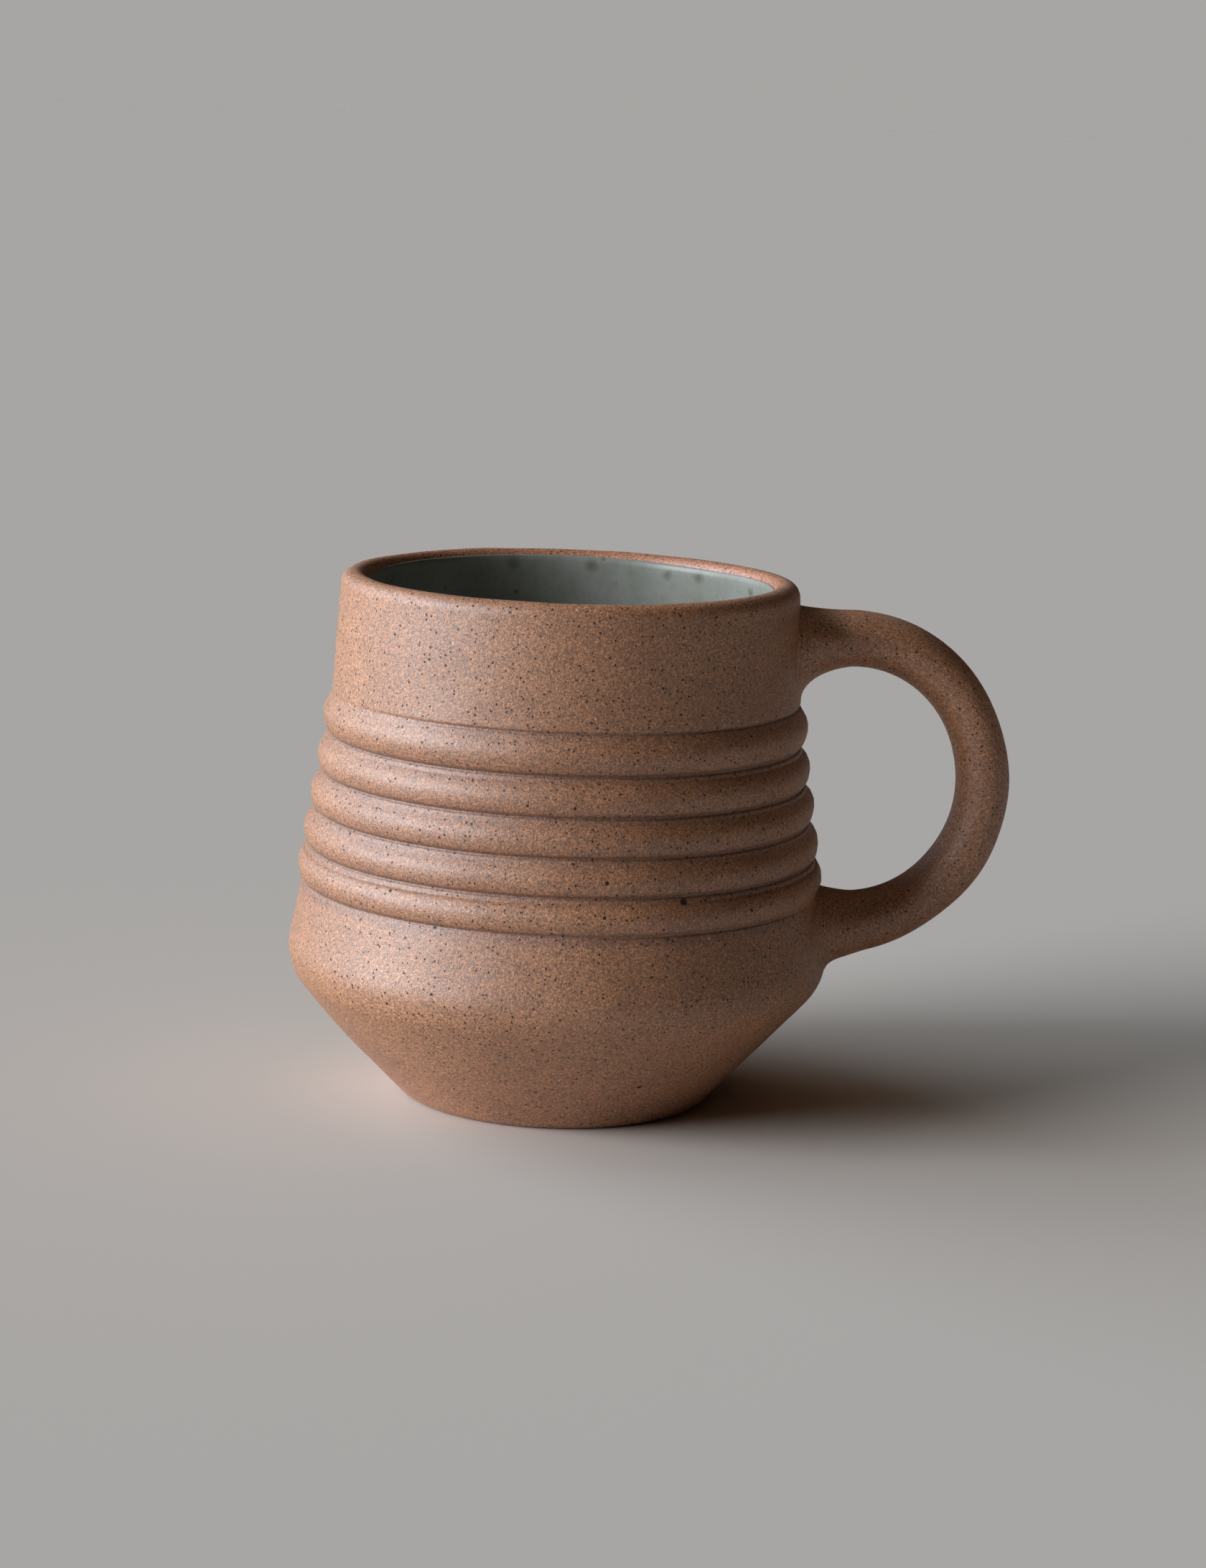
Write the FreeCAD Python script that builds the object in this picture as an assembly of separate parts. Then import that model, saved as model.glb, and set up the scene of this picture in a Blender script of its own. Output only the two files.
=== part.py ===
import FreeCAD, Part
import bisect
import math
import os

# A stoneware mug thrown on the wheel, with one pulled handle that is joined on with slip
# and soft clay, and a glaze coat inside. Lengths are in millimetres. The mug stands on
# the plane z = 0, its axis is the Z axis, and the handle points along +X.

# Outside of the thrown body. A corner is where two straight runs would meet, and the
# belly is the widest one. The others are set in from it.
height = 95.0
rim_inset = 8.7
lip_outer_rounding = 2.6
neck_inset = 7.4
neck_drop = 21.9
band_foot_inset = 2.9
band_foot_rise = 14.75
belly_radius = 49.6
belly_height = 24.3
belly_rounding = 8.4
foot_inset = 21.9
foot_rounding = 3.0
underside_bulge = 0.4

# Ribs between the neck and the band's foot. Each groove's place is a share of the way
# from the band's foot up to the neck, in height and in radius.
groove_height_shares = (0.0, 0.19, 0.385, 0.585, 0.79, 1.0)
groove_radius_shares = (0.0, 0.2, 0.44, 0.68, 0.93, 1.0)
rib_bulge = 1.3
groove_rounding = 0.4
neck_rounding = 1.0

# Inside of the thrown body
wall_thickness = 4.6
floor_thickness = 6.5
floor_rounding = 9.0
inner_belly_rounding = 6.0
lip_inner_rounding = 1.5

# Shallow recess trimmed into the underside, which leaves a ring to stand on
standing_ring_width = 4.7
recess_depth = 1.2
recess_rounding = 0.8

# Glaze coat inside. The lip stays bare clay.
glaze_thickness = 0.4
glaze_drop = 2.0
glaze_edge_rounding = 0.25

# Handle: an oval section on an upright oval loop, thicker and wider at both roots
handle_drop = 4.4
handle_foot_rise = 3.1
handle_projection = 30.8
loop_depth = 19.5
handle_thickness = 9.5
upper_root_thickness = 10.2
lower_root_thickness = 11.4
handle_width = 13.0
upper_root_width = 15.0
lower_root_width = 16.0
section_fullness = 2.15
root_swell_power = 4
section_points = 20
loop_sections = 13

# Joints: a thin layer of slip behind each root, and clay smoothed in round it.
# The clay spreads over the wall by its own amount above, below and beside the root.
slip_thickness = 0.4
upper_joint_reach = 11.0
upper_spread_outside = 0.5
upper_spread_inside = 6.0
upper_spread_beside = 2.5
lower_joint_reach = 8.0
lower_spread_outside = 2.5
lower_spread_inside = 1.2
lower_spread_beside = 6.0
feather_depth = 0.3
edge_depth = 1.2
spread_power = 3
joint_sections = 8

# How far a cutting solid runs past what it cuts, and how near a match of edges has to be
overrun = 5.0
edge_match = 0.01

# Places of the corners and the recess
rim_radius = belly_radius - rim_inset
neck_radius = belly_radius - neck_inset
neck_height = height - neck_drop
band_foot_radius = belly_radius - band_foot_inset
band_foot_height = belly_height + band_foot_rise
foot_radius = belly_radius - foot_inset
recess_radius = foot_radius - standing_ring_width
quarter_turn = math.pi / 2


def point(radius, level):
    """A point of the body's outline, in the plane y = 0."""
    return FreeCAD.Vector(radius, 0, level)


def bulged_arc(start, end, bulge):
    """An arc that stands out from the straight line between two points by the bulge."""
    along = (end - start).normalize()
    outward = point(along.z, -along.x)
    middle = (start + end) * 0.5 + outward * bulge
    return Part.Arc(start, middle, end).toShape()


def polyline(corners):
    """Straight edges from each corner to the next."""
    return [Part.LineSegment(a, b).toShape() for a, b in zip(corners, corners[1:])]


def turned(edges):
    """The solid that a closed outline makes when it is turned about the Z axis."""
    face = Part.Face(Part.Wire(edges))
    full_turn = 360
    return face.revolve(FreeCAD.Vector(), FreeCAD.Vector(0, 0, 1), full_turn)


def round_ring(solid, corner, rounding):
    """Round the ring-shaped edge that runs through a corner of the outline."""
    rings = []
    for edge in solid.Edges:
        if isinstance(edge.Curve, Part.Circle):
            height_error = abs(edge.Curve.Center.z - corner.z)
            radius_error = abs(edge.Curve.Radius - corner.x)
            if height_error < edge_match and radius_error < edge_match:
                rings.append(edge)
    return solid.makeFillet(rounding, rings)


def groove_corners():
    """The bottoms of the grooves, from the band's foot up to the neck."""
    corners = []
    for height_share, radius_share in zip(groove_height_shares, groove_radius_shares):
        radius = band_foot_radius + (neck_radius - band_foot_radius) * radius_share
        level = band_foot_height + (neck_height - band_foot_height) * height_share
        corners.append(point(radius, level))
    return corners


def body_envelope():
    """The thrown body's outside as a full solid, with no hollow."""
    foot = point(foot_radius, 0)
    belly = point(belly_radius, belly_height)
    rim = point(rim_radius, height)
    grooves = groove_corners()
    edges = polyline([point(0, 0), foot])
    edges.append(bulged_arc(foot, belly, underside_bulge))
    edges += polyline([belly, grooves[0]])
    edges += [bulged_arc(low, high, rib_bulge) for low, high in zip(grooves, grooves[1:])]
    edges += polyline([grooves[-1], rim, point(0, height), point(0, 0)])
    solid = turned(edges)
    solid = round_ring(solid, foot, foot_rounding)
    solid = round_ring(solid, belly, belly_rounding)
    solid = round_ring(solid, rim, lip_outer_rounding)
    solid = round_ring(solid, grooves[-1], neck_rounding)
    for groove in grooves[:-1]:
        solid = round_ring(solid, groove, groove_rounding)
    return solid


def line_meeting(start, along, other_start, other_along):
    """The point where two lines of the outline meet."""
    gap = other_start - start
    turn = along.x * other_along.z - along.z * other_along.x
    return start + along * ((gap.x * other_along.z - gap.z * other_along.x) / turn)


def hollow(coat, top):
    """The space inside the wall, made smaller all over by the thickness of a coat."""
    corners = [point(0, 0), point(foot_radius, 0), point(belly_radius, belly_height)]
    corners += [point(neck_radius, neck_height), point(rim_radius, height)]
    depths = [floor_thickness] + [wall_thickness] * (len(corners) - 2)
    runs = []
    for low, high, depth in zip(corners, corners[1:], depths):
        along = (high - low).normalize()
        inward = point(-along.z, along.x)
        runs.append((low + inward * (depth + coat), along))
    axis = (point(0, 0), point(0, 1))
    brim = (point(0, top), point(1, 0))
    lines = [axis] + runs + [brim]
    inner = [line_meeting(*line, *following) for line, following in zip(lines, lines[1:])]
    solid = turned(polyline(inner + [point(0, top), inner[0]]))
    solid = round_ring(solid, inner[1], floor_rounding - coat)
    return round_ring(solid, inner[2], inner_belly_rounding - coat)


def recess():
    """The shallow hollow under the foot, with a slanted side."""
    low_radius = recess_radius + overrun
    high_radius = recess_radius - recess_depth
    depth = recess_depth + overrun
    return Part.makeCone(low_radius, high_radius, depth, FreeCAD.Vector(0, 0, -overrun))


def thrown_body(envelope):
    """The clay wall, floor and foot in one piece."""
    solid = envelope.cut(hollow(0, height + overrun)).cut(recess())
    solid = round_ring(solid, point(recess_radius, 0), recess_rounding)
    deepest = point(recess_radius - recess_depth, recess_depth)
    solid = round_ring(solid, deepest, recess_rounding)
    lip = min((e for e in solid.Edges if e.BoundBox.ZMin > height - edge_match),
              key=lambda e: e.BoundBox.XMax)
    return solid.makeFillet(lip_inner_rounding, [lip])


def glaze_liner():
    """The coat of glaze on the inside of the wall and on the floor."""
    top = height - glaze_drop
    coat = hollow(0, top).cut(hollow(glaze_thickness, height + overrun))
    edge = min((e for e in coat.Edges if e.BoundBox.ZMin > top - edge_match),
               key=lambda e: e.BoundBox.XMax)
    return coat.makeFillet(glaze_edge_rounding, [edge])


# The loop's inner edge fits between the two roots, and the outermost point of the handle
# stands out from the belly by the handle's projection.
loop_top = height - handle_drop - upper_root_thickness
loop_bottom = belly_height + handle_foot_rise + lower_root_thickness
loop_rise = (loop_top - loop_bottom) / 2
loop_centre = point(belly_radius + handle_projection - handle_thickness - loop_depth,
                    (loop_top + loop_bottom) / 2)


def side_outline(envelope):
    """Closely spaced points of the body's side, from the table up."""
    outline = envelope.slice(FreeCAD.Vector(0, 1, 0), 0)[0]
    points = outline.discretize(Deflection=edge_match)
    return sorted(((place.z, place.x) for place in points if place.x > recess_radius))


def wall_radius(side, level):
    """The body's outer radius at a level, between two points of its side."""
    above = bisect.bisect(side, (level, 0), 1, len(side) - 1)
    (low, low_radius), (high, high_radius) = side[above - 1], side[above]
    return low_radius + (high_radius - low_radius) * (level - low) / (high - low)


class Root:
    """One end of the handle: its way is 1 for the upper root and -1 for the lower."""

    def __init__(self, wall, way, thickness, width):
        self.way = way
        self.thickness = thickness
        self.width = width
        self.wall = wall_radius(wall, self.station(quarter_turn)[0].z)

    def station(self, turn, shift=0):
        """Centre, outward direction, thickness and width of the section at a turn."""
        swell = (turn / quarter_turn) ** root_swell_power
        thickness = handle_thickness + (self.thickness - handle_thickness) * swell
        width = handle_width + (self.width - handle_width) * swell
        across, upward = math.cos(turn), self.way * math.sin(turn)
        outward = point(across / loop_depth, upward / loop_rise).normalize()
        inner = loop_centre + point(loop_depth * across + shift, loop_rise * upward)
        return inner + outward * (thickness / 2), outward, thickness, width

    def station_from_wall(self, distance):
        """The section at a distance from the wall, measured along the handle."""
        beyond = self.wall + distance - loop_centre.x
        turn = quarter_turn - max(beyond, 0) / (loop_depth + handle_thickness / 2)
        return self.station(turn, min(beyond, 0))


def oval(centre, outward, thickness, width):
    """Points round a slightly squared oval across the handle."""
    points = []
    for step in range(section_points):
        angle = 2 * math.pi * step / section_points
        shares = []
        for share in (math.cos(angle), math.sin(angle)):
            shares.append(math.copysign(abs(share) ** (2 / section_fullness), share))
        across = FreeCAD.Vector(0, width / 2 * shares[1], 0)
        points.append(centre + outward * (thickness / 2 * shares[0]) + across)
    return points


def skinned(rings):
    """The smooth solid through a row of rings of points."""
    wires = []
    for ring in rings:
        curve = Part.BSplineCurve()
        curve.interpolate(ring, PeriodicFlag=True)
        wires.append(Part.Wire(curve.toShape()))
    return Part.makeLoft(wires, True, False)


def whole_handle(upper, lower):
    """The handle with both ends run on into the wall."""
    rings = [oval(*upper.station_from_wall(-overrun))]
    for step in range(loop_sections):
        turn = quarter_turn - 2 * quarter_turn * step / (loop_sections - 1)
        root = upper if turn >= 0 else lower
        rings.append(oval(*root.station(abs(turn))))
    rings.append(oval(*lower.station_from_wall(-overrun)))
    return skinned(rings)


def laid_on_wall(wall, root, ring, share):
    """A ring bent towards the round wall by a share of the wall's fall away from it."""
    bent = []
    for place in ring:
        radius = wall_radius(wall, place.z)
        fall = root.wall - math.sqrt(radius ** 2 - place.y ** 2)
        bent.append(place - point(fall * share, 0))
    return bent


def smoothed_clay(wall, root, reach, outside, inside, beside):
    """The clay round a root: it leaves the handle gently and spreads over the wall."""

    def ring(distance, spread):
        centre, outward, thickness, width = root.station_from_wall(distance)
        centre += outward * ((outside - inside) * spread / 2)
        sunk = feather_depth * (1 - spread)
        thickness += (outside + inside) * spread - 2 * sunk
        width += 2 * (beside * spread - sunk)
        return oval(centre, outward, thickness, width)

    rings = []
    for step in range(joint_sections):
        distance = reach - (reach + edge_depth) * step / (joint_sections - 1)
        spread = (1 - distance / reach) ** spread_power
        rings.append(laid_on_wall(wall, root, ring(distance, spread), spread))
    rings.append(ring(-overrun, spread))
    return skinned(rings)


def build():
    """Every piece of the mug by name."""
    envelope = body_envelope()
    wall = side_outline(envelope)
    upper = Root(wall, 1, upper_root_thickness, upper_root_width)
    lower = Root(wall, -1, lower_root_thickness, lower_root_width)
    slip_face = envelope.translated(point(slip_thickness, 0))
    handle = whole_handle(upper, lower).cut(slip_face)
    upper_clay = smoothed_clay(wall, upper, upper_joint_reach, upper_spread_outside,
                               upper_spread_inside, upper_spread_beside)
    lower_clay = smoothed_clay(wall, lower, lower_joint_reach, lower_spread_outside,
                               lower_spread_inside, lower_spread_beside)
    return {
        "thrown_body": thrown_body(envelope),
        "handle": handle,
        "upper_slip_joint": upper_clay.cut(envelope).cut(handle),
        "lower_slip_joint": lower_clay.cut(envelope).cut(handle),
        "glaze_liner": glaze_liner(),
    }


os.makedirs("parts", exist_ok=True)
for name, shape in build().items():
    shape.exportStep("parts/" + name + ".step")
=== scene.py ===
import math

import bpy
import numpy as np
from mathutils import Matrix, Vector


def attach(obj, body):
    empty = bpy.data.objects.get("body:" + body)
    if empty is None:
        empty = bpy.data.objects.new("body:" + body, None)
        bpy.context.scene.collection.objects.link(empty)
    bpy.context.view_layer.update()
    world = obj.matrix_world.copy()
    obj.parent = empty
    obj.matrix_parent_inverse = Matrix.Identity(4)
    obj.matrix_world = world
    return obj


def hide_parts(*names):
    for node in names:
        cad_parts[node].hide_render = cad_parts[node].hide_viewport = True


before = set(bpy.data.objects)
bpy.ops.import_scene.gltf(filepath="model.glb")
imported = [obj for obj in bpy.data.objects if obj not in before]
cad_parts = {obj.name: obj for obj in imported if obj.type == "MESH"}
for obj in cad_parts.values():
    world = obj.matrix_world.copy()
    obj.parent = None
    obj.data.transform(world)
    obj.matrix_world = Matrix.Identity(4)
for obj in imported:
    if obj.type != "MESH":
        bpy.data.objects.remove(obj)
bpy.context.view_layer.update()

# A ribbed stoneware mug with a looped handle and a glazed inside. Everything is in metres,
# and lengths are written in millimetres times mm.
mm = 0.001

# Corners of the thrown body's outline
height = 95.0 * mm
rim_radius = 40.9 * mm
neck_radius = 42.2 * mm
neck_level = 73.1 * mm
band_foot_radius = 46.7 * mm
band_foot_level = 39.05 * mm
belly_radius = 49.6 * mm
belly_level = 24.3 * mm
foot_radius = 27.7 * mm
recess_radius = 23.0 * mm
recess_depth = 1.2 * mm
wall = 4.6 * mm
floor_thickness = 6.5 * mm
lip_crest_share = 0.5

# Roundings
lip_outer_rounding = 2.4 * mm
lip_inner_rounding = 2.1 * mm
belly_rounding = 8.4 * mm
neck_rounding = 1.0 * mm
foot_rounding = 3.0 * mm
recess_rounding = 0.8 * mm
floor_rounding = 9.0 * mm
inner_belly_rounding = 6.0 * mm
inner_neck_rounding = 40.0 * mm

# Ribs and grooves. A groove is a crease under the rib above it, then a narrow floor
# with a low ridge, then a faint second crease. The crease and the hollow under it also get painted
# shade.
groove_height_shares = (0.0, 0.19, 0.385, 0.585, 0.79, 1.0)
groove_radius_shares = (0.0, 0.2, 0.44, 0.68, 0.93, 1.0)
groove_levels = band_foot_level + (neck_level - band_foot_level) * np.array(groove_height_shares)
rib_bulge = 1.3 * mm
upper_flank_share = 0.4
upper_flank_softness = 0.6
underside_bulge = 0.4 * mm
crease_rise = 0.3 * mm
crease_depth = 0.36 * mm
crease_width = 0.32 * mm
ridge_fall = 0.15 * mm
ridge_height = 0.06 * mm
ridge_width = 0.22 * mm
second_crease_fall = 0.9 * mm
second_crease_depth = 0.16 * mm
second_crease_width = 0.3 * mm
# Painted shade in a crease: the width of its dark line, and the share, fall and width of the shade
# in the hollow under it
shade_line_width = 0.42 * mm
hollow_shade_share = 0.45
hollow_shade_fall = 0.4 * mm
hollow_shade_width = 0.8 * mm

# The lowest groove is smeared away beside the handle, and the top one fades on the left
smear_turns = (math.radians(16), math.radians(38))
least_smear = 0.15
faded_turn = math.radians(195)
fade_turns = (math.radians(15), math.radians(65))
least_fade = 0.1
most_fade = 0.85

# Glaze coat
glaze = 0.4 * mm
glaze_drop = 1.2 * mm
glaze_edge_zone = 4.0 * mm
glaze_edge_waver = 0.35 * mm
glaze_bead = 0.08 * mm
glaze_bead_length = 1.6 * mm
glaze_sunk = 0.15 * mm
glaze_edge_shares = (0.25, 0.5, 0.75)

# Handle: an oval section on an upright oval loop
loop_centre = np.array((51.4 * mm, 0, 59.6 * mm))
loop_depth = 19.5 * mm
loop_rise = 20.8 * mm
handle_thickness = 9.5 * mm
upper_root_thickness = 10.2 * mm
lower_root_thickness = 11.4 * mm
handle_width = 13.0 * mm
upper_root_width = 15.0 * mm
lower_root_width = 16.0 * mm
section_fullness = 2.15
root_swell_power = 4
root_sunk = 2.5 * mm
sunk_flare = 1.02

# Clay smoothed in round the roots
upper_reach = 11.5 * mm
upper_spreads = {"outside": 0.6 * mm, "inside": 6.4 * mm, "beside": 3.0 * mm}
lower_reach = 8.5 * mm
lower_spreads = {"outside": 2.2 * mm, "inside": 1.0 * mm, "beside": 7.0 * mm}
feather = 0.12 * mm

# Hand-made unevenness
body_waver = 0.16 * mm
body_waver_length = 45.0 * mm
even_foot_levels = (0.5 * mm, 6.0 * mm)
surface_waver = 0.05 * mm
surface_waver_length = 9.0 * mm
rim_waver = 0.18 * mm
rim_waver_level = 0.8 * height
handle_waver = 0.2 * mm
handle_waver_length = 14.0 * mm
underside_lean = 0.45 * mm
wave_count = 9
slowest_wave = 0.35

# Lengths of the unevenness round the rim and the glaze's edge, on a circle of radius 1
rim_waver_length = 3.0
edge_waver_length = 1.2
bead_waver_length = 0.3

# How far up a rib the painted shade on its lower flank reaches and how much it fades where the
# groove is smoothed away, and where the kiln reddened the lip
flank_shade_shares = (0.06, 0.5)
flank_shade_fading = 0.8
flash_distances = (0.2 * mm, 3.2 * mm)
flash_levels = (height - 5.0 * mm, height - 1.5 * mm)

# How finely the meshes are divided
turns = 256
plain_step = 1.1 * mm
groove_step = 0.11 * mm
groove_zone = 1.6 * mm
arc_step = math.radians(7)
loop_sections = 150
straight_step = 0.8 * mm
section_points = 64
joint_sections = 30
quarter = math.pi / 2


def blended(start, end, share):
    """The value a share of the way from the start to the end."""
    return start + (end - start) * share


def eased(value, low, high):
    """A smooth step from 0 at the low value to 1 at the high value."""
    share = np.clip((value - low) / (high - low), 0, 1)
    return share * share * (3 - 2 * share)


def bump(value, centre, width):
    """A bell curve of height 1."""
    return np.exp(-((value - centre) / width) ** 2)


def waver(places, length, seed):
    """Smooth unevenness between about -1 and 1 that changes over the given length."""
    chance = np.random.default_rng(seed)
    total = 0
    for _ in range(wave_count):
        way = chance.normal(size=3)
        pace = 2 * math.pi * chance.uniform(slowest_wave, 1) / length / np.linalg.norm(way)
        total = total + np.sin(places @ way * pace + chance.uniform(0, 2 * math.pi))
    return total / math.sqrt(wave_count)


def unit(vector):
    """The vector at length 1."""
    return vector / np.linalg.norm(vector)


def rounded(corners):
    """The points of an outline. Each corner is its radius, its level and its rounding."""
    places = [np.array(corner[:2]) for corner in corners]
    points = [places[0]]
    for before, corner, after, given in zip(places, places[1:], places[2:], corners[1:]):
        rounding = given[2]
        back, on = unit(before - corner), unit(after - corner)
        half = math.acos(back @ on) / 2
        centre = corner + unit(back + on) * (rounding / math.sin(half))
        start = corner + back * (rounding / math.tan(half)) - centre
        sweep = math.copysign(math.pi - 2 * half, back[0] * on[1] - back[1] * on[0])
        count = math.ceil(abs(sweep) / arc_step) if rounding else 0
        for step in range(count + 1):
            turn = -sweep * step / max(count, 1)
            cos, sin = math.cos(turn), math.sin(turn)
            points.append(centre + (cos * start[0] - sin * start[1],
                                    sin * start[0] + cos * start[1]))
    return points + [places[-1]]


def walked(points, fine=False):
    """An outline with points close together near the grooves, if it is to be fine."""
    places = []
    for start, end in zip(points, points[1:]):
        run = np.linalg.norm(end - start)
        gone = 0
        while gone < run:
            places.append(blended(start, end, gone / run))
            near = fine and np.abs(places[-1][1] - groove_levels).min() < groove_zone
            gone += groove_step if near else plain_step
    return places + [points[-1]]


def angle_between(turn, centre):
    """How far a turn lies from a centre, from 0 to half a circle."""
    return np.abs(np.remainder(turn - centre + math.pi, 2 * math.pi) - math.pi)


def softness(groove, turn):
    """How far a groove is smoothed away at a turn: 0 is crisp and 1 is gone."""
    near_handle = 1 - eased(angle_between(turn, 0), *smear_turns)
    near_left = 1 - eased(angle_between(turn, faded_turn), *fade_turns)
    smeared = blended(least_smear, 1, near_handle)
    faded = blended(least_fade, most_fade, near_left)
    top = len(groove_levels) - 1
    return np.where(groove == 0, smeared, np.where(groove == top, faded, 0))


def rib_place(level):
    """The number of the rib at a level, and how far up the rib the level lies."""
    rib = np.clip(np.searchsorted(groove_levels, level) - 1, 0, len(groove_levels) - 2)
    low, high = groove_levels[rib], groove_levels[rib + 1]
    return rib, np.clip((level - low) / (high - low), 0, 1)


def rib_relief(level, turn):
    """How far the ribs and grooves stand out from the straight side."""
    rib, share = rib_place(level)
    sunk = np.array(groove_radius_shares) - np.array(groove_height_shares)
    chord = (neck_radius - band_foot_radius) * blended(sunk[rib], sunk[rib + 1], share)
    soft = softness(np.where(share < 0.5, rib, rib + 1), turn)
    sharp_arc = 4 * share * (1 - share)
    soft_arc = np.cos(math.pi * (share - 0.5)) ** 2
    soft = np.maximum(soft, upper_flank_softness * eased(share, upper_flank_share, 1))
    relief = chord + rib_bulge * blended(sharp_arc, soft_arc, soft)
    for groove, place in enumerate(groove_levels):
        crisp = 1 - softness(groove, turn)
        relief = relief - crisp * crease_depth * bump(level, place + crease_rise, crease_width)
        if 0 < groove < len(groove_levels) - 1:
            ridge = ridge_height * bump(level, place - ridge_fall, ridge_width)
            second = bump(level, place - second_crease_fall, second_crease_width)
            relief = relief + crisp * (ridge - second_crease_depth * second)
    return relief


def crease_shade_share(level, turn):
    """How much of the clay's colour is painted shade in a crease and in the hollow under it."""
    total = 0
    for groove, place in enumerate(groove_levels):
        line = bump(level, place + crease_rise, shade_line_width)
        hollow = hollow_shade_share * bump(level, place - hollow_shade_fall, hollow_shade_width)
        total = total + (1 - softness(groove, turn)) * np.maximum(line, hollow)
    return np.clip(total, 0, 1)


def line_meeting(start, along, other_start, other_along):
    """The point where two lines of the outline meet."""
    gap = other_start - start
    cross = along[0] * other_along[1] - along[1] * other_along[0]
    return start + along * ((gap[0] * other_along[1] - gap[1] * other_along[0]) / cross)


def inner_corners():
    """The corners of the inside from the top down to the axis, with their roundings."""
    corners = [(0, 0), (foot_radius, 0), (belly_radius, belly_level)]
    corners += [(neck_radius, neck_level), (rim_radius, height)]
    corners = [np.array(corner) for corner in corners]
    depths = [floor_thickness] + [wall] * (len(corners) - 2)
    lines = [(np.array((0, height)), np.array((1, 0)))]
    for low, high, depth in reversed(list(zip(corners, corners[1:], depths))):
        along = unit(high - low)
        lines.append((low + np.array((-along[1], along[0])) * depth, along))
    lines.append((np.array((0, 0)), np.array((0, 1))))
    places = [line_meeting(*line, *following) for line, following in zip(lines, lines[1:])]
    roundings = (0, inner_neck_rounding, inner_belly_rounding, floor_rounding, 0)
    return [(*place, rounding) for place, rounding in zip(places, roundings)]


def lip_crest():
    """The highest point of the lip."""
    inner_radius = inner_corners()[0][0]
    return blended(inner_radius, rim_radius, lip_crest_share), height, 0


def outside_outline():
    """The body's outline from the middle of the recess round to the lip's crest."""
    corners = [(0, recess_depth, 0), (recess_radius - recess_depth, recess_depth, recess_rounding)]
    corners += [(recess_radius, 0, recess_rounding), (foot_radius, 0, foot_rounding)]
    corners += [(belly_radius, belly_level, belly_rounding), (band_foot_radius, band_foot_level, 0)]
    corners += [(neck_radius, neck_level, neck_rounding), (rim_radius, height, lip_outer_rounding)]
    return rounded(corners + [lip_crest()])


def inside_outline():
    """The body's outline from the lip's crest down the inside to the middle of the floor."""
    corners = inner_corners()
    lip = (corners[0][0], height, lip_inner_rounding)
    return rounded([lip_crest(), lip] + corners[1:])


def sides_of(points):
    """The direction to the right of an outline at each of its points."""
    along = np.gradient(points, axis=0)
    along /= np.linalg.norm(along, axis=1)[:, None]
    return np.stack([along[:, 1], -along[:, 0]], 1)


def new_piece(name, vertices, faces, tints=()):
    """A smooth mesh object with a number at each vertex for each tint."""
    mesh = bpy.data.meshes.new(name)
    mesh.from_pydata(vertices, [], faces)
    mesh.shade_smooth()
    for tint, values in tints:
        mesh.attributes.new(tint, "FLOAT", "POINT").data.foreach_set("value", values)
    piece = bpy.data.objects.new(name, mesh)
    bpy.context.scene.collection.objects.link(piece)
    return piece


def ring_faces(ring_count, around):
    """The faces between rings of vertices that follow each other."""
    faces = []
    for low in range(0, (ring_count - 1) * around, around):
        for step in range(around):
            after = (step + 1) % around
            faces.append((low + step, low + after, low + around + after, low + around + step))
    return faces


def turned(name, places, ends, tints=()):
    """A closed piece from rings of places about the Z axis and the levels of its two ends."""
    ring_count, around = places.shape[:2]
    vertices = places.reshape(-1, 3).tolist() + [(0, 0, level) for level in ends]
    faces = ring_faces(ring_count, around)
    first, last = len(vertices) - 2, len(vertices) - 1
    top = (ring_count - 1) * around
    for step in range(around):
        after = (step + 1) % around
        faces.append((after, step, first))
        faces.append((top + step, top + after, last))
    columns = [(tint, np.append(values.ravel(), (0, 0))) for tint, values in tints]
    return new_piece(name, vertices, faces, columns)


def round_about(radius, level, turn):
    """Places at a radius and a level at each turn about the Z axis."""
    level = np.broadcast_to(level, np.broadcast_shapes(radius.shape, turn.shape))
    return np.stack([radius * np.cos(turn), radius * np.sin(turn), level], -1)


def all_turns():
    """The turns of a ring of vertices, and their places on a circle of radius 1."""
    turn = np.linspace(0, 2 * math.pi, turns, endpoint=False)[None]
    return turn, round_about(np.ones(turn.shape), np.zeros(turn.shape), turn)


def on_band(outside, level):
    """Whether a place lies on the outside, on the ribs or close beside them."""
    low, high = band_foot_level - groove_zone, neck_level + groove_zone
    return outside & (level > low) & (level < high)


def body_relief(outside, radius, level, turn):
    """How far ribs, grooves and the bulge of the underside stand out from the outline."""
    under = outside & (level < belly_level) & (radius > foot_radius - foot_rounding)
    share = np.clip(level / belly_level, 0, 1)
    ribs = np.where(on_band(outside, level), rib_relief(level, turn), 0)
    return ribs + np.where(under, underside_bulge * 4 * share * (1 - share), 0)


def wheel_marks(places, level):
    """How far the surface is out of true, except at the foot."""
    uneven = body_waver * waver(places, body_waver_length, seed=3)
    uneven = uneven + surface_waver * waver(places, surface_waver_length, seed=7)
    return uneven * eased(level, *even_foot_levels)


def body_tints(outside, radius, level, turn):
    """The shares of painted shade on the ribs' lower flanks, of kiln flash at the lip and of
    painted shade in the creases and the hollows under them.
    """
    rib, rib_share = rib_place(level)
    # Painted shade on each rib's lower flank, where the rib faces down
    flank = (1 - eased(rib_share, *flank_shade_shares)) * (1 - flank_shade_fading * softness(rib, turn))
    to_lip = np.abs(radius - (rim_radius - wall))
    near_lip = eased(level, *flash_levels) * np.ones(turn.shape)
    flash = (1 - eased(to_lip, *flash_distances)) * near_lip
    # Painted shade in the creases and the hollows under them
    crease = outside * crease_shade_share(level, turn)
    return [("flank", on_band(outside, level) * flank), ("flash", flash), ("crease", crease)]


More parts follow.
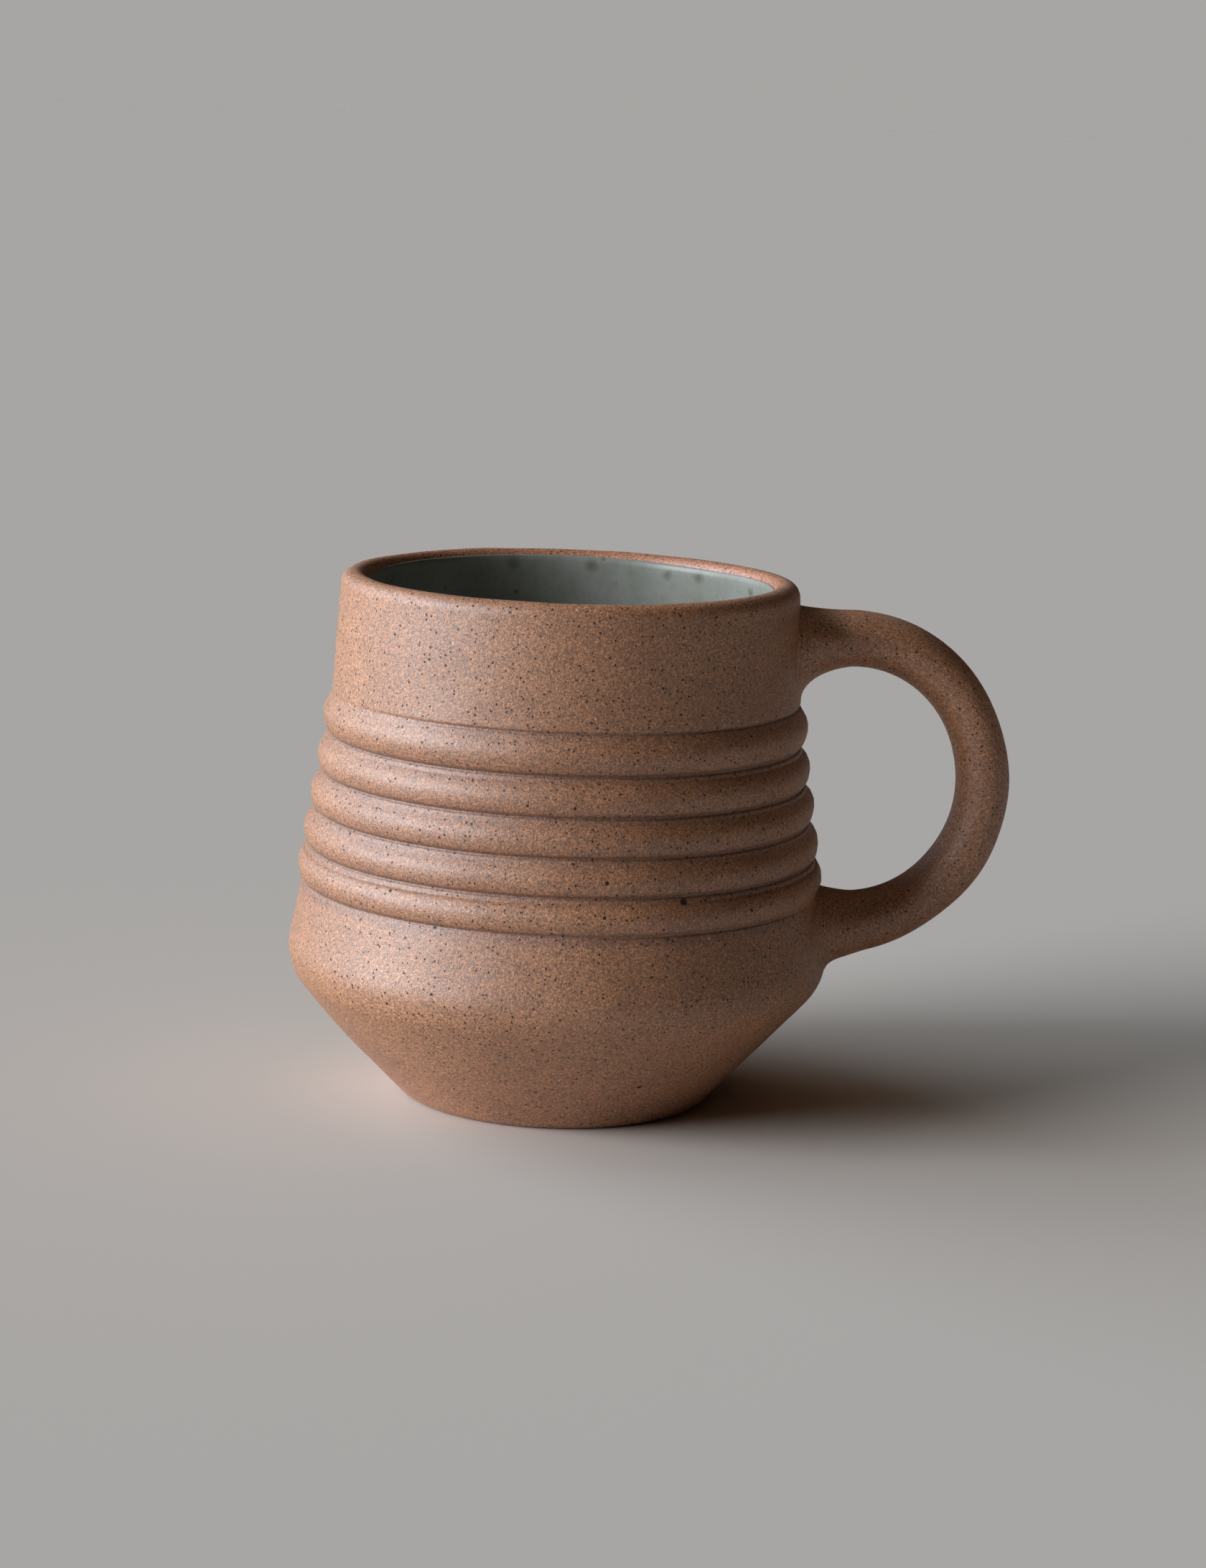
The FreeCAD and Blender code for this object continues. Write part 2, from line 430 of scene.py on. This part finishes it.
def thrown_body():
    """The clay wall, floor and foot, with its ribs and the unevenness of the wheel."""
    outer = walked(outside_outline(), fine=True)[:-1]
    outline = np.array(outer + walked(inside_outline()))
    side_out, side_up = sides_of(outline)[1:-1, :, None].transpose(1, 0, 2)
    radius, level = outline[1:-1, :, None].transpose(1, 0, 2)
    outside = (np.arange(len(radius)) < len(outer) - 1)[:, None]
    turn, around = all_turns()
    relief = body_relief(outside, radius, level, turn)
    places = round_about(radius + side_out * relief, level + side_up * relief, turn)
    uneven = wheel_marks(places, level)
    places = places + round_about(side_out * uneven, side_up * uneven, turn)
    rise = rim_waver * waver(around, rim_waver_length, seed=1)
    places[..., 2] += rise * eased(level, rim_waver_level, height)
    share = np.clip(level / belly_level, 0, 1)
    places[..., 0] -= outside * underside_lean * np.sin(math.pi * share)
    ends = (outline[0][1], outline[-1][1])
    return turned("thrown_body_clay", places, ends, body_tints(outside, radius, level, turn))


def glaze_liner():
    """The coat of glaze inside, with a wavy, slightly swollen edge under the lip."""
    top = height - glaze_drop
    clay_side = np.array([place for place in walked(inside_outline()) if place[1] < top])
    side = sides_of(clay_side)
    front, back = clay_side + side * glaze, clay_side - side * glaze_sunk
    edge = [blended(back[0], front[0], share) + (0, glaze / 2 * math.sin(math.pi * share))
            for share in glaze_edge_shares]
    outline = np.concatenate([back[::-1], edge, front])
    radius, level = outline[1:-1, :, None].transpose(1, 0, 2)
    facing = (np.arange(len(radius)) >= len(back) - 1)[:, None]
    turn, around = all_turns()
    from_top = top - level
    near_edge = 1 - eased(from_top, 0, glaze_edge_zone)
    swell = glaze_bead * bump(from_top, glaze_bead_length, glaze_bead_length)
    swell = swell + surface_waver * near_edge * waver(around, bead_waver_length, seed=2)
    edge_rise = glaze_edge_waver * waver(around, edge_waver_length, seed=5)
    places = round_about(radius - facing * swell, level + near_edge * edge_rise, turn)
    return turned("celadon_glaze_coat", places, (outline[0][1], outline[-1][1]))


def wall_radius(level):
    """The plain side's radius at a level, with no ribs."""
    side = np.array([place for place in outside_outline() if place[0] > recess_radius])
    return np.interp(level, side[:, 1], side[:, 0])


def side_place(turn, level):
    """The place on the body's side at a turn and a level."""
    band = band_foot_level < level < neck_level
    radius = wall_radius(level) + (rib_relief(np.array(level), turn) if band else 0)
    return radius * math.cos(turn), radius * math.sin(turn), level


class Root:
    """One end of the handle: its way is 1 for the upper root and -1 for the lower."""

    def __init__(self, way, thickness, width):
        self.way = way
        self.thickness = thickness
        self.width = width
        self.wall = wall_radius(self.station(quarter)[0][2])

    def station(self, turn, shift=0):
        """Centre, outward direction, thickness and width of the section at a turn."""
        swell = (turn / quarter) ** root_swell_power
        thickness = blended(handle_thickness, self.thickness, swell)
        width = blended(handle_width, self.width, swell)
        across, upward = math.cos(turn), self.way * math.sin(turn)
        outward = unit(np.array((across / loop_depth, 0, upward / loop_rise)))
        inner = loop_centre + (loop_depth * across + shift, 0, loop_rise * upward)
        return inner + outward * (thickness / 2), outward, thickness, width

    def from_wall(self, distance):
        """The section at a distance from the wall, measured along the handle."""
        beyond = self.wall + distance - loop_centre[0]
        turn = quarter - max(beyond, 0) / (loop_depth + handle_thickness / 2)
        return self.station(turn, min(beyond, 0))


def oval(centre, outward, thickness, width):
    """Points round a slightly squared oval across the handle."""
    angle = np.linspace(0, 2 * math.pi, section_points, endpoint=False)
    shares = np.stack([np.cos(angle), np.sin(angle)])
    shares = np.sign(shares) * np.abs(shares) ** (2 / section_fullness)
    across = shares[1][:, None] * (0, width / 2, 0)
    return centre + shares[0][:, None] * outward * (thickness / 2) + across


def skinned(name, rings):
    """A closed piece through a row of rings of points."""
    around = len(rings[0])
    vertices = np.concatenate(rings).tolist()
    faces = ring_faces(len(rings), around)
    faces.append(tuple(reversed(range(around))))
    faces.append(tuple(range(len(vertices) - around, len(vertices))))
    return new_piece(name, vertices, faces)


def kneaded(ring, centre):
    """A ring of the handle with the unevenness of a pulled strap of clay."""
    outward = ring - centre
    outward /= np.linalg.norm(outward, axis=1)[:, None]
    return ring + outward * handle_waver * waver(ring, handle_waver_length, seed=4)[:, None]


def pulled_handle(upper, lower):
    """The whole strap, with both ends sunk into the wall."""
    ends = []
    for root in (upper, lower):
        straight = loop_centre[0] - root.wall + root_sunk
        shifts = np.arange(-straight, 0, straight_step)
        ends.append([root.station(quarter, shift) for shift in shifts])
    turn_shares = np.linspace(1, -1, loop_sections)
    loop = [(upper if share >= 0 else lower).station(quarter * abs(share)) for share in turn_shares]
    path = ends[0] + loop + ends[1][::-1]
    rings = [kneaded(oval(*station), station[0]) for station in path]
    return skinned("pulled_handle_clay", rings)


def smoothed_joint(name, root, reach, spreads):
    """The clay round a root: it leaves the handle gently and spreads over the wall."""
    outside, inside, beside = spreads["outside"], spreads["inside"], spreads["beside"]

    def ring(distance, spread, sunk, bend):
        """A ring at a distance from the wall: spread out, sunk in and bent to the wall."""
        centre, outward, thickness, width = root.from_wall(distance)
        middle = centre + outward * ((outside - inside) * spread / 2)
        thickness += (outside + inside) * spread - 2 * sunk
        width += 2 * (beside * spread - sunk)
        places = kneaded(oval(middle, outward, thickness, width), centre)
        fall = root.wall - np.sqrt(wall_radius(places[:, 2]) ** 2 - places[:, 1] ** 2)
        places[:, 0] -= fall * bend
        return places

    rings = [ring(-root_sunk, 1, 0, 1), ring(-2 * feather, sunk_flare, 0, 1)]
    for turn in np.linspace(quarter, 0, joint_sections):
        left = 1 - math.sin(turn)
        rings.append(ring(reach * left, 1 - math.cos(turn), feather * left, math.sin(turn)))
    return skinned(name, rings if root.way > 0 else rings[::-1])


class Nodes:
    """Builds the node tree of one material."""

    def __init__(self, name):
        self.material = bpy.data.materials.new(name)
        self.material.use_nodes = True
        self.tree = self.material.node_tree
        self.shader = self.tree.nodes["Principled BSDF"]
        self.coords = self.add("TexCoord").outputs["Object"]

    def add(self, kind):
        """A new node of a kind."""
        return self.tree.nodes.new("ShaderNode" + kind)

    def link(self, value, socket):
        """Sets a socket to a number or a colour, or links it to another socket."""
        if isinstance(value, bpy.types.NodeSocket):
            self.tree.links.new(value, socket)
        elif isinstance(value, tuple):
            socket.default_value = value + (1,)
        else:
            socket.default_value = value

    def noise(self, size, detail, roughness=0.5, stretch=None):
        """Noise whose waves are about the given size in metres."""
        node = self.add("TexNoise")
        node.inputs["Scale"].default_value = 1 / size
        node.inputs["Detail"].default_value = detail
        node.inputs["Roughness"].default_value = roughness
        source = self.coords
        if stretch:
            scaled = self.add("VectorMath")
            scaled.operation = "MULTIPLY"
            scaled.inputs[1].default_value = stretch
            self.link(source, scaled.inputs[0])
            source = scaled.outputs[0]
        self.link(source, node.inputs["Vector"])
        return node.outputs["Fac"]

    def crumpled(self, shift):
        """Places moved by up to the shift along each axis, which makes round things uneven."""
        node = self.add("TexNoise")
        node.inputs["Scale"].default_value = 1 / (crumple_size_share * shift)
        self.link(self.coords, node.inputs["Vector"])
        moved = self.add("VectorMath")
        moved.operation = "MULTIPLY_ADD"
        self.link(node.outputs["Color"], moved.inputs[0])
        moved.inputs[1].default_value = (shift, shift, shift)
        self.link(self.coords, moved.inputs[2])
        return moved.outputs[0]

    def specks(self, spacing, radius, softness_share, kept):
        """Round specks: a share of the cells of a given spacing holds one."""
        node = self.add("TexVoronoi")
        node.inputs["Scale"].default_value = 1 / spacing
        self.link(self.crumpled(speck_crumple_share * spacing), node.inputs["Vector"])
        parts = self.add("SeparateColor")
        self.link(node.outputs["Color"], parts.inputs[0])
        size = self.math("MULTIPLY", parts.outputs[0], radius / spacing)
        present = self.math("LESS_THAN", parts.outputs[1], kept)
        reach = self.math("MULTIPLY", size, present)
        inner = self.math("MULTIPLY", reach, 1 - softness_share)
        return self.mapped(node.outputs["Distance"], reach, inner)

    def spot(self, place, radius):
        """One uneven spot round a place."""
        node = self.add("VectorMath")
        node.operation = "DISTANCE"
        self.link(self.crumpled(radius), node.inputs[0])
        node.inputs[1].default_value = np.array(place) + radius / 2
        return self.mapped(node.outputs["Value"], radius, spot_core_share * radius)

    def math(self, operation, first, second):
        """One arithmetic step."""
        node = self.add("Math")
        node.operation = operation
        self.link(first, node.inputs[0])
        self.link(second, node.inputs[1])
        return node.outputs[0]

    def mapped(self, value, low, high, to_low=0.0, to_high=1.0):
        """A value brought from one range to another, and kept inside it."""
        node = self.add("MapRange")
        for socket, amount in zip(node.inputs, (value, low, high, to_low, to_high)):
            self.link(amount, socket)
        return node.outputs["Result"]

    def mix(self, share, under, over):
        """One colour laid over another by a share."""
        node = self.add("Mix")
        node.data_type = "RGBA"
        self.link(share, node.inputs["Factor"])
        self.link(under, node.inputs["A"])
        self.link(over, node.inputs["B"])
        return node.outputs["Result"]

    def shaded(self, colour, factor):
        """A colour times a factor."""
        node = self.add("VectorMath")
        node.operation = "SCALE"
        self.link(colour, node.inputs[0])
        self.link(factor, node.inputs["Scale"])
        return node.outputs[0]

    def tint(self, name):
        """A number that each vertex of the mesh carries."""
        node = self.add("Attribute")
        node.attribute_name = name
        return node.outputs["Fac"]

    def bump(self, height_value, depth, normal=None):
        """A bump of the given depth in metres."""
        node = self.add("Bump")
        node.inputs["Distance"].default_value = depth
        node.inputs["Strength"].default_value = 1
        self.link(height_value, node.inputs["Height"])
        if normal:
            self.link(normal, node.inputs["Normal"])
        return node.outputs["Normal"]


# Colours of the clay and the glaze
clay_tan = (0.52, 0.222, 0.091)
clay_brown = (0.41, 0.163, 0.061)
# Painted shade on the ribs' lower flanks, warm as if lit from the floor
flank_shade_colour = (0.35, 0.140, 0.062)
clay_flash = (0.50, 0.17, 0.065)
# Painted shade in the creases and the hollows under them
crease_shade_colour = (0.15, 0.072, 0.040)
iron = (0.040, 0.024, 0.018)
rust_halo = (0.085, 0.040, 0.024)
pale_grain = (0.75, 0.62, 0.50)
celadon = (0.30, 0.30, 0.252)
celadon_deep = (0.14, 0.148, 0.104)
celadon_brown = (0.13, 0.10, 0.06)

# The largest iron spots: turn in degrees, level and radius in millimetres
iron_spots = ((297.4, 44.8, 0.8), (279.8, 48.7, 0.45), (279.4, 42.9, 0.4))
iron_spots += ((314.5, 42.2, 0.4), (224.7, 9.9, 0.65), (294.0, 10.1, 0.6))

# Noise patterns: the size of the waves, the detail and the roughness
blotches = (26 * mm, 4, 0.55)
streaks = (6 * mm, 3, 0.6, (1, 1, 9))
coarse_sand = (0.5 * mm, 2, 0.7)
fine_sand = (0.24 * mm, 2, 0.6)
pepper = (0.55 * mm, 3, 0.7)
clay_dents = (1.3 * mm, 3, 0.65)
glaze_clouds = (9 * mm, 5, 0.6)
glaze_mottles = (1.3 * mm, 4, 0.6)
glaze_waves = (3 * mm, 2)

# How a pattern is used: two of its values, and what they become
blotch_shares = (0.35, 0.65)
streak_shares = (0.4, 0.7, 0, 0.25)
coarse_sand_shades = (0.36, 0.64, 0.62, 1.38)
fine_sand_shades = (0.34, 0.66, 0.42, 1.58)
pepper_shares = (0.56, 0.68, 0, 0.6)
cloud_shares = (0.42, 0.75, 0, 0.45)
mottle_shares = (0.5, 0.75, 0, 0.3)

# Depths of the bumps
dent_depth = 0.065 * mm
sand_depth = 0.065 * mm
glaze_wave_depth = 0.03 * mm

# Specks: the spacing of their cells, the largest radius, the soft share of the radius and
# the share of the cells that hold one
pale_specks = (1.3 * mm, 0.26 * mm, 0.5, 0.11)
rusty_specks = (0.9 * mm, 0.31 * mm, 0.5, 1.0)
small_iron_specks = (1.1 * mm, 0.29 * mm, 0.5, 0.38)
large_iron_specks = (2.6 * mm, 0.44 * mm, 0.5, 0.25)
glaze_shadows = (5 * mm, 2.0 * mm, 0.9, 0.5)
glaze_specks = (2.5 * mm, 0.8 * mm, 0.8, 0.25)

# Uneven edges of specks and spots, as shares of the shift, the spacing and the radius
crumple_size_share = 1.5
speck_crumple_share = 0.2
spot_core_share = 0.6

# How strongly the painted shade on the ribs' lower flanks and in the creases, and the kiln flash at
# the lip, show
flank_shade_strength = 0.55
crease_shade_strength = 0.7
flash_strength = 0.9

# Gloss
clay_roughness = 0.58
clay_ior = 2.2
clay_specular = 0.5
speck_specular = 0.08
clay_sheen = 0.04
clay_sheen_roughness = 0.5
glaze_roughness = 0.4
glaze_ior = 1.5


def sandy_colour(nodes, sand):
    """The clay's blotches, streaks and grain, painted shade on the ribs' lower flanks and in the
    creases, and the kiln flash at the lip.
    """
    colour = nodes.mix(nodes.mapped(nodes.noise(*blotches), *blotch_shares), clay_brown, clay_tan)
    colour = nodes.mix(nodes.mapped(nodes.noise(*streaks), *streak_shares), colour, clay_brown)
    # Painted shade on the ribs' lower flanks and in the creases, then the kiln flash at the lip
    shades = (("flank", flank_shade_strength, flank_shade_colour), ("crease", crease_shade_strength, crease_shade_colour))
    shades += (("flash", flash_strength, clay_flash),)
    for tint, strength, shade in shades:
        share = nodes.math("MULTIPLY", nodes.tint(tint), strength)
        colour = nodes.mix(share, colour, shade)
    coarse = nodes.mapped(nodes.noise(*coarse_sand), *coarse_sand_shades)
    fine = nodes.mapped(sand, *fine_sand_shades)
    colour = nodes.shaded(colour, nodes.math("MULTIPLY", coarse, fine))
    return nodes.mix(nodes.mapped(nodes.noise(*pepper), *pepper_shares), colour, rust_halo)


def iron_share(nodes):
    """Where the iron specks and spots are."""
    small, large = nodes.specks(*small_iron_specks), nodes.specks(*large_iron_specks)
    share = nodes.math("MAXIMUM", small, large)
    for turn, level, radius in iron_spots:
        place = side_place(math.radians(turn), level * mm)
        share = nodes.math("MAXIMUM", share, nodes.spot(place, radius * mm))
    return share


def clay():
    """Bare sandy stoneware with iron specks."""
    nodes = Nodes("bare_stoneware")
    sand = nodes.noise(*fine_sand)
    colour = sandy_colour(nodes, sand)
    colour = nodes.mix(nodes.specks(*pale_specks), colour, pale_grain)
    rust = nodes.specks(*rusty_specks)
    iron_marks = iron_share(nodes)
    colour = nodes.mix(rust, colour, rust_halo)
    colour = nodes.mix(iron_marks, colour, iron)
    shader = nodes.shader.inputs
    nodes.link(colour, shader["Base Color"])
    dull = nodes.math("MAXIMUM", iron_marks, rust)
    specular = nodes.mapped(dull, 0, 1, clay_specular, speck_specular)
    nodes.link(specular, shader["Specular IOR Level"])
    shader["Roughness"].default_value = clay_roughness
    shader["IOR"].default_value = clay_ior
    shader["Sheen Weight"].default_value = clay_sheen
    shader["Sheen Roughness"].default_value = clay_sheen_roughness
    dents = nodes.bump(nodes.noise(*clay_dents), dent_depth)
    nodes.link(nodes.bump(sand, sand_depth, dents), shader["Normal"])
    return nodes.material


def celadon_glaze():
    """Glossy grey-green glaze with darker mottles and a few specks."""
    nodes = Nodes("celadon_glaze")
    clouds = nodes.mapped(nodes.noise(*glaze_clouds), *cloud_shares)
    mottles = nodes.mapped(nodes.noise(*glaze_mottles), *mottle_shares)
    colour = nodes.mix(clouds, celadon, celadon_deep)
    colour = nodes.mix(mottles, colour, celadon_deep)
    colour = nodes.mix(nodes.specks(*glaze_shadows), colour, celadon_deep)
    colour = nodes.mix(nodes.specks(*glaze_specks), colour, celadon_brown)
    shader = nodes.shader.inputs
    nodes.link(colour, shader["Base Color"])
    shader["Roughness"].default_value = glaze_roughness
    shader["IOR"].default_value = glaze_ior
    waves = nodes.noise(*glaze_waves)
    nodes.link(nodes.bump(waves, glaze_wave_depth), shader["Normal"])
    return nodes.material


def dressed(piece, node, material):
    """Puts a piece in the frame in place of its node."""
    piece.data.materials.append(material)
    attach(piece, "root")
    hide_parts(node)


def make_mug():
    """The five pieces of the mug."""
    upper = Root(1, upper_root_thickness, upper_root_width)
    lower = Root(-1, lower_root_thickness, lower_root_width)
    stoneware = clay()
    dressed(thrown_body(), "thrown_body", stoneware)
    dressed(pulled_handle(upper, lower), "handle", stoneware)
    joint = smoothed_joint("upper_joint_clay", upper, upper_reach, upper_spreads)
    dressed(joint, "upper_slip_joint", stoneware)
    joint = smoothed_joint("lower_joint_clay", lower, lower_reach, lower_spreads)
    dressed(joint, "lower_slip_joint", stoneware)
    dressed(glaze_liner(), "glaze_liner", celadon_glaze())


# The room: a pale floor, a large soft lamp on the left, a cooler one on the left behind, a
# weak warm one high above and a faint even light. Turns are about Z from the handle's side.
floor_colour = (0.76, 0.69, 0.61)
floor_size = 40.0
key_turn = math.radians(202)
key_rise = math.radians(18)
key_width = math.radians(36)
key_strength = 3.1
key_colour = (0.92, 0.985, 1.09)
back_turn = math.radians(162)
back_rise = math.radians(22)
back_width = math.radians(60)
back_strength = 1.8
back_colour = (0.80, 0.95, 1.12)
top_turn = math.radians(120)
top_rise = math.radians(72)
top_width = math.radians(80)
top_strength = 0.16
top_colour = (1.0, 0.76, 0.52)
room_light = (0.010, 0.007, 0.005)
floor_bounce = 0.85
backdrop = (0.389, 0.380, 0.369)

# The camera, as fitted to the photograph
picture_width = 1680
picture_height = 2185
focal_pixels = 5143.7
sensor = 36.0
camera_place = Vector((0, -0.657, 0.1813))
camera_yaw = 0.01083
camera_pitch = 0.18677
camera_roll = -0.036898


def make_camera():
    """The camera at the photograph's viewing angle."""
    data = bpy.data.cameras.new("camera")
    data.sensor_width = sensor
    data.lens = focal_pixels * sensor / max(picture_width, picture_height)
    level = math.cos(camera_pitch)
    forward = Vector((math.sin(camera_yaw) * level, math.cos(camera_yaw) * level,
                      -math.sin(camera_pitch)))
    right = Vector((math.cos(camera_yaw), -math.sin(camera_yaw), 0))
    down = forward.cross(right)
    tilted_right = right * math.cos(camera_roll) + down * math.sin(camera_roll)
    tilted_down = down * math.cos(camera_roll) - right * math.sin(camera_roll)
    turn = Matrix((tilted_right, -tilted_down, -forward)).transposed().to_4x4()
    camera = bpy.data.objects.new("camera", data)
    camera.matrix_world = Matrix.Translation(camera_place) @ turn
    bpy.context.scene.collection.objects.link(camera)
    bpy.context.scene.camera = camera


def soft_lamp(name, turn, rise, width, strength, colour):
    """A distant lamp that looks as wide as the given angle from the mug."""
    data = bpy.data.lights.new(name, "SUN")
    data.angle = width
    data.energy = strength
    data.color = colour
    lamp = bpy.data.objects.new(name, data)
    lamp.rotation_euler = (quarter - rise, 0, quarter + turn)
    bpy.context.scene.collection.objects.link(lamp)


def make_floor():
    """A matte floor that gives the mug a little less light than its own colour would."""
    half = floor_size / 2
    corners = [(-half, -half, 0), (half, -half, 0), (half, half, 0), (-half, half, 0)]
    floor = new_piece("floor", corners, [(0, 1, 2, 3)])
    nodes = Nodes("pale_floor")
    seen = nodes.add("LightPath").outputs["Is Camera Ray"]
    bounced = tuple(channel * floor_bounce for channel in floor_colour)
    nodes.link(nodes.mix(seen, bounced, floor_colour), nodes.shader.inputs["Base Color"])
    nodes.shader.inputs["Roughness"].default_value = 1
    nodes.shader.inputs["Specular IOR Level"].default_value = 0
    floor.data.materials.append(nodes.material)


def make_world():
    """The faint even light, and a backdrop of the floor's own shade for the camera."""
    world = bpy.data.worlds.new("room")
    world.use_nodes = True
    tree = world.node_tree
    light = tree.nodes["Background"]
    light.inputs["Color"].default_value = room_light + (1,)
    behind = tree.nodes.new("ShaderNodeBackground")
    behind.inputs["Color"].default_value = backdrop + (1,)
    path = tree.nodes.new("ShaderNodeLightPath")
    either = tree.nodes.new("ShaderNodeMixShader")
    tree.links.new(path.outputs["Is Camera Ray"], either.inputs[0])
    tree.links.new(light.outputs[0], either.inputs[1])
    tree.links.new(behind.outputs[0], either.inputs[2])
    tree.links.new(either.outputs[0], tree.nodes["World Output"].inputs["Surface"])
    bpy.context.scene.world = world


def make_room():
    """The floor, the lamps and the even light."""
    make_floor()
    soft_lamp("key", key_turn, key_rise, key_width, key_strength, key_colour)
    soft_lamp("back", back_turn, back_rise, back_width, back_strength, back_colour)
    soft_lamp("top", top_turn, top_rise, top_width, top_strength, top_colour)
    make_world()


bpy.context.scene.view_settings.view_transform = "Standard"
make_camera()
make_mug()
make_room()
